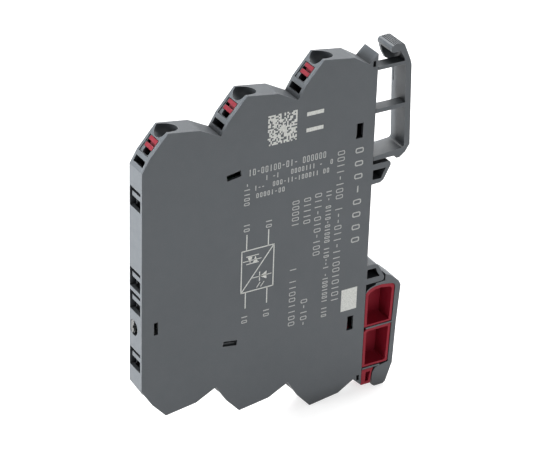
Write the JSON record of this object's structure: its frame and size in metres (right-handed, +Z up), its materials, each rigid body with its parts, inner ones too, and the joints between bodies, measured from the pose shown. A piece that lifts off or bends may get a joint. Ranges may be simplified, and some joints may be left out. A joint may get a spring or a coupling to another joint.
{
  "type": "slim interface relay module",
  "caption": "Slim rail-mounted interface relay with stepped push-in terminal tiers, red release levers, bridge slots in the front and a sprung rail foot.",
  "frame": {"origin": "centre of the flat back of the housing, between the two rail buffers, at mid width", "axes": "+Y towards the rail, +Z up along the tall side (upper terminals on top), +X out of the side cover, along the rail"},
  "size_m": [0.0062, 0.0723, 0.0954],
  "materials": {
    "housing_grey": "fine moulded texture, satin matte",
    "lever_red": "smooth moulded, satin",
    "spring_steel": "plain spring steel",
    "tinned_copper": "tin plated",
    "clear_plastic": "clear, polished",
    "board_green": "green solder mask",
    "component_black": "moulded epoxy",
    "heat_aluminium": "plain sheet",
    "ceramic_tan": "fired ceramic",
    "varistor_blue": "dipped lacquer"
  },
  "bodies": {
    "housing": {"bridge_contact_1": "tinned_copper", "bridge_contact_2": "tinned_copper", "bridge_contact_3": "tinned_copper", "bridge_contact_4": "tinned_copper", "bridge_rectifier": "component_black", "circuit_board": "board_green", "clamp_spring_bottom_front": "spring_steel", "clamp_spring_bottom_middle": "spring_steel", "clamp_spring_bottom_rear": "spring_steel", "clamp_spring_top_front": "spring_steel", "clamp_spring_top_middle": "spring_steel", "clamp_spring_top_rear": "spring_steel", "current_bar_bottom_front": "tinned_copper", "current_bar_bottom_middle": "tinned_copper", "current_bar_bottom_rear": "tinned_copper", "current_bar_top_front": "tinned_copper", "current_bar_top_middle": "tinned_copper", "current_bar_top_rear": "tinned_copper", "gate_resistor": "component_black", "heat_spreader": "heat_aluminium", "housing_tub": "housing_grey", "input_resistor_1": "component_black", "input_resistor_2": "component_black", "latch_spring": "spring_steel", "light_pipe": "clear_plastic", "optocoupler": "component_black", "output_triac": "component_black", "side_cover": "housing_grey", "smoothing_capacitor": "ceramic_tan", "snubber_capacitor": "ceramic_tan", "status_led": "clear_plastic", "upper_rail_frame": "housing_grey", "varistor": "varistor_blue"},
    "lever_top_front": {"release_lever_top_front": "lever_red"},
    "lever_top_middle": {"release_lever_top_middle": "lever_red"},
    "lever_top_rear": {"release_lever_top_rear": "lever_red"},
    "lever_bottom_front": {"release_lever_bottom_front": "lever_red"},
    "lever_bottom_middle": {"release_lever_bottom_middle": "lever_red"},
    "lever_bottom_rear": {"release_lever_bottom_rear": "lever_red"},
    "rail_latch": {"latch_foot": "housing_grey", "release_insert": "lever_red"}
  },
  "joints": [
    {"name": "press_top_front", "type": "slide", "parent": "housing", "child": "lever_top_front", "axis": [0, 0.7602, -0.6496], "range_m": [0, 0.0012], "stiffness_N_per_m": 1500, "springref_m": -0.0006},
    {"name": "press_top_middle", "type": "slide", "parent": "housing", "child": "lever_top_middle", "axis": [0, 0.7602, -0.6496], "range_m": [0, 0.0012], "stiffness_N_per_m": 1500, "springref_m": -0.0006},
    {"name": "press_top_rear", "type": "slide", "parent": "housing", "child": "lever_top_rear", "axis": [0, 0.7602, -0.6496], "range_m": [0, 0.0012], "stiffness_N_per_m": 1500, "springref_m": -0.0006},
    {"name": "press_bottom_front", "type": "slide", "parent": "housing", "child": "lever_bottom_front", "axis": [0, 0.7602, 0.6496], "range_m": [0, 0.0012], "stiffness_N_per_m": 1500, "springref_m": -0.0006},
    {"name": "press_bottom_middle", "type": "slide", "parent": "housing", "child": "lever_bottom_middle", "axis": [0, 0.7602, 0.6496], "range_m": [0, 0.0012], "stiffness_N_per_m": 1500, "springref_m": -0.0006},
    {"name": "press_bottom_rear", "type": "slide", "parent": "housing", "child": "lever_bottom_rear", "axis": [0, 0.7602, 0.6496], "range_m": [0, 0.0012], "stiffness_N_per_m": 1500, "springref_m": -0.0006},
    {"name": "rail_latch", "type": "slide", "parent": "housing", "child": "rail_latch", "axis": [0, 0, -1], "range_m": [0, 0.0025], "stiffness_N_per_m": 1000, "springref_m": -0.001, "deforming": ["latch_spring"]}
  ]
}
